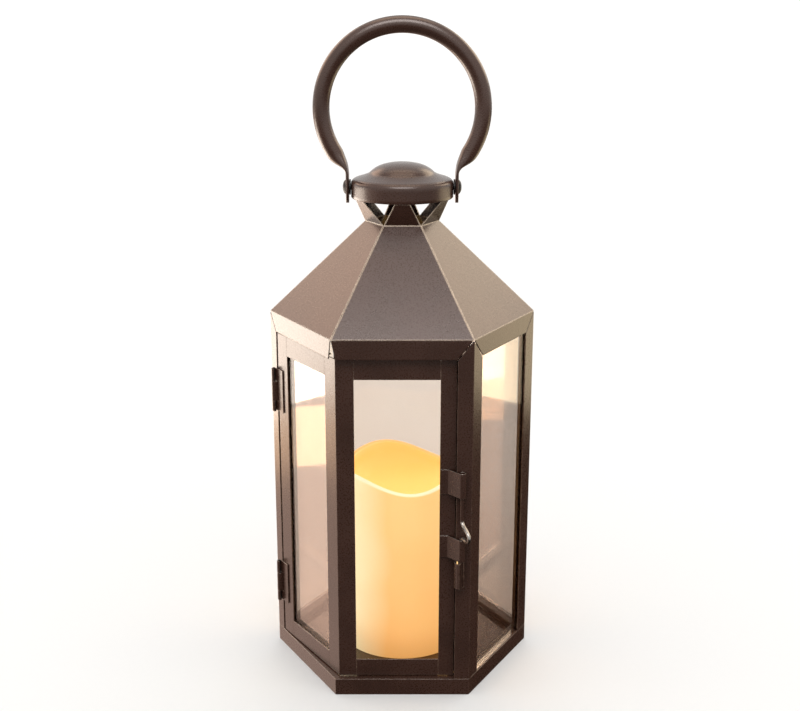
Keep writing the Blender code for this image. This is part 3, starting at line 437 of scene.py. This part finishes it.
def warm_led():
    """Glowing lamp body, brighter than the wax around it."""
    graph = Graph("warm_led")
    core = graph.spread(graph.noise(400.0), 0.3, 0.7)
    graph.set("Base Color", graph.blend(core, (0.95, 0.72, 0.34), (0.99, 0.85, 0.5)))
    graph.set("Roughness", graph.spread(core, 0.0, 1.0, 0.1, 0.2))
    graph.set("Emission Color", graph.blend(core, (1.0, 0.58, 0.18), (1.0, 0.7, 0.3)))
    graph.set("Emission Strength", 6.0)
    return graph.material


def battery_jacket():
    """Printed sleeve: a light band at the top end, with fine print texture and no lettering."""
    graph = Graph("battery_jacket")
    band = graph.spread(graph.along("Z"), 0.0545, 0.0550)
    sleeve = graph.blend(graph.noise(300.0, 3.0), (0.055, 0.07, 0.10), (0.09, 0.11, 0.15))
    graph.set("Base Color", graph.blend(band, sleeve, (0.42, 0.30, 0.12)))
    graph.set("Metallic", 0.3)
    graph.set("Roughness", graph.spread(graph.noise(600.0), 0.3, 0.7, 0.28, 0.4))
    return graph.material


# ---------------------------------------------------------------- geometry helpers

FLAT_ANGLE = math.radians(0.6)
FOLD_ANGLE = math.radians(28.0)
EDGE_RADIUS = 0.25
RAIL_REACH = 0.27


def new_piece(node, mesh, material, smooth_angle=40.0, weighted=False):
    """Visible piece that stands for one CAD node and rides on that node's body."""
    mesh.materials.clear()
    mesh.materials.append(material)
    mesh.shade_smooth()
    mesh.set_sharp_from_angle(angle=math.radians(smooth_angle))
    piece = bpy.data.objects.new(f"{node}_finished", mesh)
    scene.collection.objects.link(piece)
    if weighted:
        normals = piece.modifiers.new("even normals", "WEIGHTED_NORMAL")
        normals.weight = 100
        normals.keep_sharp = True
    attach(piece, body_of[node])
    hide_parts(node)


def finer_sheet(node, material):
    """Copy of a CAD node with its sharp edges rounded.

    The door rails also reach their stiles, so that no light shows through the welded joint.
    """
    builder = bmesh.new()
    builder.from_mesh(nodes[node].data)
    bmesh.ops.remove_doubles(builder, verts=builder.verts, dist=2e-6)
    bmesh.ops.dissolve_limit(builder, angle_limit=FLAT_ANGLE, verts=builder.verts, edges=builder.edges)
    sharp = [edge for edge in builder.edges
             if len(edge.link_faces) == 2 and abs(edge.calc_face_angle()) > FOLD_ANGLE]
    bmesh.ops.bevel(builder, geom=sharp, offset=EDGE_RADIUS * MM, offset_type="OFFSET", segments=2,
                    profile=0.6, affect="EDGES", clamp_overlap=True)
    if node.endswith("_rail"):
        lengthen(builder.verts, RAIL_REACH * MM)
    mesh = bpy.data.meshes.new(f"{node}_finished")
    builder.to_mesh(mesh)
    builder.free()
    for name in ("custom_normal", "sharp_face", "sharp_edge"):
        if name in mesh.attributes:
            mesh.attributes.remove(mesh.attributes[name])
    new_piece(node, mesh, material, 50.0, True)


def lengthen(verts, amount):
    """Move both ends of a straight rail outwards along its own length."""
    middle = sum((vert.co for vert in verts), Vector()) / len(verts)
    farthest = max(verts, key=lambda vert: (vert.co - middle).xy.length).co - middle
    along = Vector((farthest.x, farthest.y, 0.0)).normalized()
    for vert in verts:
        vert.co += along * math.copysign(amount, (vert.co - middle).dot(along))


def mesh_from(name, points, faces):
    mesh = bpy.data.meshes.new(name)
    mesh.from_pydata([Vector(point) * MM for point in points], [], faces)
    builder = bmesh.new()
    builder.from_mesh(mesh)
    bmesh.ops.recalc_face_normals(builder, faces=builder.faces)
    builder.to_mesh(mesh)
    builder.free()
    return mesh


def revolved(name, profile, segments):
    """Mesh of revolution about Z; the profile starts and ends on the axis."""
    inner = profile[1:-1]
    points = [(0.0, 0.0, profile[0][1]), (0.0, 0.0, profile[-1][1])]
    count = len(inner)
    faces = []
    for step in range(segments):
        turn = math.tau * step / segments
        points += [(radius * math.cos(turn), radius * math.sin(turn), height) for radius, height in inner]
        here = 2 + step * count
        there = 2 + (step + 1) % segments * count
        faces.append((0, here, there))
        faces.append((1, there + count - 1, here + count - 1))
        for index in range(count - 1):
            faces.append((here + index, here + index + 1, there + index + 1, there + index))
    return mesh_from(name, points, faces)


def curve_through(points, steps):
    """Smooth line through 2D points, with the same point given twice where it stays sharp."""
    result = []
    last = len(points) - 1
    for index in range(last):
        before = Vector(points[max(index - 1, 0)])
        start, end = Vector(points[index]), Vector(points[index + 1])
        after = Vector(points[min(index + 2, last)])
        if start == end:
            continue
        for step in range(steps):
            t = step / steps
            result.append(0.5 * (2.0 * start + (end - before) * t
                                 + (2.0 * before - 5.0 * start + 4.0 * end - after) * t * t
                                 + (3.0 * start - before - 3.0 * end + after) * t ** 3))
    return result + [Vector(points[last])]


def tube(rings, name):
    count = len(rings[0])
    points = [point for ring in rings for point in ring]
    faces = []
    for ring in range(len(rings) - 1):
        for index in range(count):
            here, there = ring * count, (ring + 1) * count
            following = (index + 1) % count
            faces.append((here + index, here + following, there + following, there + index))
    faces.append(tuple(range(count)))
    faces.append(tuple(range(len(points) - count, len(points))))
    return mesh_from(name, points, faces)


# ---------------------------------------------------------------- cap, handle, rivets, rod

def make_cap(paint):
    outside = [(39.0, 380.6), (39.6, 381.2), (39.6, 381.2), (39.6, 391.6), (39.6, 391.6), (39.3, 393.0),
               (38.2, 394.4), (36.9, 395.2), (35.6, 395.75), (34.0, 396.2), (30.0, 397.5), (27.0, 398.7),
               (25.3, 399.7), (23.8, 401.1), (21.6, 402.8), (18.4, 404.6), (14.2, 406.1), (9.0, 407.2),
               (4.4, 407.6), (0.0, 407.7)]
    inside = [(38.6, 381.2), (38.6, 391.4), (38.2, 393.0), (36.4, 394.2), (29.8, 396.5), (24.8, 398.8),
              (20.9, 401.9), (13.9, 405.1), (8.8, 406.2), (0.0, 406.7)]
    profile = [(point.x, point.y) for point in reversed(curve_through(outside, 4))] + inside
    new_piece("cap", revolved("cap_finished", profile, 144), paint, 50.0)


HANDLE_RADIUS = 61.9
HANDLE_CENTRE = 448.6
HANDLE_TUBE = 6.5
HANDLE_OPENING = math.radians(34.0)
TAB_X = 42.4
TAB_LOW = 376.2
TAB_HIGH = 398.0
TAB_WIDTH = 8.8
TAB_THICKNESS = 1.2
PINCH_LOW = 400.0
PINCH_LENGTH = 15.0


def superellipse(turn, width, thickness, squareness):
    def power(value):
        return math.copysign(abs(value) ** squareness, value)
    return power(math.cos(turn)) * width, power(math.sin(turn)) * thickness


def handle_route():
    """Right half of the handle's centreline in the XZ plane, from the tab's lower end to the top."""
    start = Vector((math.cos(HANDLE_OPENING), -math.sin(HANDLE_OPENING))) * HANDLE_RADIUS
    join = Vector((0.0, HANDLE_CENTRE)) + start
    tangent = Vector((math.sin(HANDLE_OPENING), math.cos(HANDLE_OPENING)))
    top = Vector((TAB_X, TAB_HIGH))
    reach = 0.4 * (join - top).length
    controls = (top, top + Vector((0.0, reach)), join - tangent * reach, join)
    rounding = [1.0 - math.cos(math.radians(step)) for step in range(3, 91, 6)]
    route = [Vector((TAB_X, TAB_LOW + TAB_WIDTH * share)) for share in rounding]
    straight = TAB_HIGH - TAB_LOW - TAB_WIDTH
    route += [Vector((TAB_X, TAB_LOW + TAB_WIDTH + straight * step / 6.0)) for step in range(1, 6)]
    for step in range(24):
        t = step / 24.0
        weights = ((1.0 - t) ** 3, 3.0 * t * (1.0 - t) ** 2, 3.0 * t * t * (1.0 - t), t ** 3)
        route.append(sum((point * weight for point, weight in zip(controls, weights)), Vector((0.0, 0.0))))
    steps = 60
    sweep = (math.pi / 2.0 + HANDLE_OPENING) / steps
    for step in range(steps):
        turn = sweep * step - HANDLE_OPENING
        route.append(Vector((HANDLE_RADIUS * math.cos(turn), HANDLE_CENTRE + HANDLE_RADIUS * math.sin(turn))))
    return route, Vector((0.0, HANDLE_CENTRE + HANDLE_RADIUS))


def handle_section(height):
    """Half width and half thickness: a flat tab with a round end that swells into the tube."""
    if height < TAB_LOW + TAB_WIDTH:
        rise = TAB_LOW + TAB_WIDTH - height
        return max(math.sqrt(max(TAB_WIDTH ** 2 - rise ** 2, 0.0)), 0.3), TAB_THICKNESS
    share = min(max((height - PINCH_LOW) / PINCH_LENGTH, 0.0), 1.0)
    share = share * share * (3.0 - 2.0 * share)
    width = TAB_WIDTH + (HANDLE_TUBE - TAB_WIDTH) * share
    thickness = TAB_THICKNESS + (HANDLE_TUBE - TAB_THICKNESS) * share
    return width, thickness


def swept_rings(path, sides, section):
    """Rings across a path in one plane; section(index, step) is a point's place out of it and across it."""
    rings = []
    for index, point in enumerate(path):
        ahead = (path[min(index + 1, len(path) - 1)] - path[max(index - 1, 0)]).normalized()
        across = Vector((-ahead.y, ahead.x))
        ring = []
        for step in range(sides):
            side, out = section(index, step)
            ring.append((point.x + across.x * out, side, point.y + across.y * out))
        rings.append(ring)
    return rings


def make_handle(paint):
    right, top = handle_route()
    path = [Vector((-point.x, point.y)) for point in right] + [top] + right[::-1]
    sides = 40

    def section(index, step):
        width, thickness = handle_section(path[index].y)
        squareness = 1.0 - 0.7 * (1.0 - thickness / HANDLE_TUBE)
        return superellipse(math.tau * (step + 0.5) / sides, width, thickness, squareness)

    new_piece("handle", tube(swept_rings(path, sides, section), "handle_finished"), paint, 50.0)


def make_rivets(black):
    rivet_height = 388.5
    profile = [(0.0, 46.0), (1.6, 45.95), (3.2, 45.6), (4.6, 44.9), (5.4, 44.1), (5.5, 43.95), (5.4, 43.9),
               (2.2, 43.9), (2.2, 38.0), (4.0, 38.0), (4.0, 37.6), (3.2, 36.6), (0.0, 36.2)]
    for side_name, sign in (("left", -1.0), ("right", 1.0)):
        node = f"handle_rivet_{side_name}"
        mesh = revolved(f"{node}_finished", profile, 48)
        turn = Matrix.Rotation(math.radians(90.0) * sign, 4, "Y")
        mesh.transform(Matrix.Translation((0.0, 0.0, rivet_height * MM)) @ turn)
        new_piece(node, mesh, black)


def make_rod(material):
    """Latch rod with its finger grip drawn as one smooth hook."""
    centre = Vector((45.0, -94.2))
    wire_radius = 1.5
    crank = math.radians(-65.0)
    outwards = Vector((math.cos(crank), math.sin(crank)))
    sideways = Vector((-outwards.y, outwards.x))
    low, high = (0.0, 94.4), (0.0, 186.4)
    hook_low, hook_high = (0.0, 130.5), (0.0, 151.5)
    grip = [(0.2, 133.6), (2.4, 135.7), (5.6, 135.6), (8.7, 135.5), (11.0, 136.8),
            (11.7, 139.2), (10.2, 141.9), (6.6, 144.2), (2.5, 146.2), (0.3, 148.6)]
    hook = [low, low, hook_low, hook_low, *grip, hook_high, hook_high, high, high]
    sides = 24

    def section(_, step):
        turn = math.tau * step / sides
        return wire_radius * math.sin(turn), wire_radius * math.cos(turn)

    rings = []
    for ring in swept_rings(curve_through(hook, 5), sides, section):
        places = [(centre + outwards * reach + sideways * side, height) for reach, side, height in ring]
        rings.append([(place.x, place.y, height) for place, height in places])
    new_piece("latch_rod", tube(rings, "latch_rod_finished"), material)


# ---------------------------------------------------------------- candle

WAX_RADIUS = 50.8
WAX_WALL = 5.0
WAX_FOOT = 8.4
WAX_RIM = 158.6
BOWL_DEPTH = 26.0
HOLLOW_RADIUS = 47.0
HOLLOW_DEPTH = 20.0
FOOT_ROUNDING = 1.2
LIP_ROUNDING = 2.0
RIM_WAVES = ((1, 2.4, 140.0), (2, 1.8, -22.0), (3, 4.1, -15.0))


def rim_height(turn):
    """The rim rises and falls: each wave has a count around the candle, a height and a phase in degrees."""
    return WAX_RIM + sum(height * math.cos(count * (turn - math.radians(phase)))
                         for count, height, phase in RIM_WAVES)


def wax_column(turn):
    """Radius and height of points from the foot, over the rim, down to the middle of the bowl."""
    bowl_floor = WAX_RIM - BOWL_DEPTH
    rim = rim_height(turn)
    inner = WAX_RADIUS - WAX_WALL
    lip = rim - LIP_ROUNDING
    side_low, side_high = WAX_FOOT + FOOT_ROUNDING, lip - 0.2
    column = [(WAX_RADIUS - FOOT_ROUNDING, WAX_FOOT), (WAX_RADIUS - 0.35, WAX_FOOT + 0.35)]
    column += [(WAX_RADIUS, side_low + (side_high - side_low) * share / 8.0) for share in range(9)]
    half = WAX_WALL / 2.0
    for angle in range(15, 181, 15):
        round_over = math.radians(angle)
        across = WAX_RADIUS - half + half * math.cos(round_over)
        column.append((across, lip + LIP_ROUNDING * math.sin(round_over)))
    depth = lip - bowl_floor
    steps = 12
    for share in range(1, steps + 1):
        bend = share / steps * math.pi / 2.0
        reach = inner * math.cos(bend) ** 0.62 if share < steps else 0.8
        column.append((reach, lip - depth * math.sin(bend) ** 0.9))
    return column


def around(radius, height, segments):
    """Points of a level circle."""
    turns = [math.tau * step / segments for step in range(segments)]
    return [(radius * math.cos(turn), radius * math.sin(turn), height) for turn in turns]


def make_wax(wax):
    segments = 160
    columns = []
    for step in range(segments):
        turn = math.tau * step / segments
        columns.append([(place * math.cos(turn), place * math.sin(turn), height)
                        for place, height in wax_column(turn)])
    count = len(columns[0])
    points = [point for column in columns for point in column]
    hub = len(points)
    points.append((0.0, 0.0, WAX_RIM - BOWL_DEPTH))
    base = len(points)
    points += around(HOLLOW_RADIUS, WAX_FOOT, segments)
    points += around(HOLLOW_RADIUS, WAX_FOOT + HOLLOW_DEPTH, segments)
    lid = len(points)
    points.append((0.0, 0.0, WAX_FOOT + HOLLOW_DEPTH))
    faces = []
    for step in range(segments):
        following = (step + 1) % segments
        here, there = step * count, following * count
        for index in range(count - 1):
            faces.append((here + index, there + index, there + index + 1, here + index + 1))
        faces.append((here + count - 1, there + count - 1, hub))
        under, next_under = base + step, base + following
        faces.append((here, under, next_under, there))
        faces.append((under, under + segments, next_under + segments, next_under))
        faces.append((under + segments, lid, next_under + segments))
    new_piece("candle_wax", mesh_from("candle_wax_finished", points, faces), wax, 60.0)


# ---------------------------------------------------------------- build

add_studio()
add_camera()

paint = bronze_paint()
rod_paint = bronze_paint("rod_paint", bare_band=BARE_GRIP)
finishes = {
    "bronze_paint": paint,
    "dark_hardware": dark_hardware(),
    "bare_steel": bare_steel(),
    "clear_glass": clear_glass(),
    "cream_wax": cream_wax(),
    "black_plastic": plastic("black_plastic", (0.016, 0.016, 0.017), (0.03, 0.03, 0.032), 0.5),
    "warm_led": warm_led(),
    "circuit_board": plastic("circuit_board", (0.02, 0.13, 0.05), (0.03, 0.18, 0.07), 0.4, 600.0),
    "battery_jacket": battery_jacket(),
    "spring_steel": bare_steel("spring_steel", (0.66, 0.64, 0.6)),
}
for name, node in nodes.items():
    node.material_slots[0].material = finishes[slot_of[name]]

make_cap(paint)
make_handle(paint)
make_rivets(finishes["dark_hardware"])
make_rod(rod_paint)
make_wax(finishes["cream_wax"])

SPECIAL_PAINT = {
    "latch_loop": bronze_paint("strap_paint", bare_top=True),
    "roof_panel": bronze_paint("roof_paint", seams=True),
    "floor_plate": bronze_paint("floor_paint", polished=True),
}
DRAWN_ANEW = ("cap", "handle")
KEPT_AS_PACKED = ("latch_tongue",)
for name in sorted(nodes):
    if slot_of[name] != "bronze_paint" or name in DRAWN_ANEW + KEPT_AS_PACKED or name.endswith("_retainer"):
        continue
    finer_sheet(name, next((look for start, look in SPECIAL_PAINT.items() if name.startswith(start)), paint))
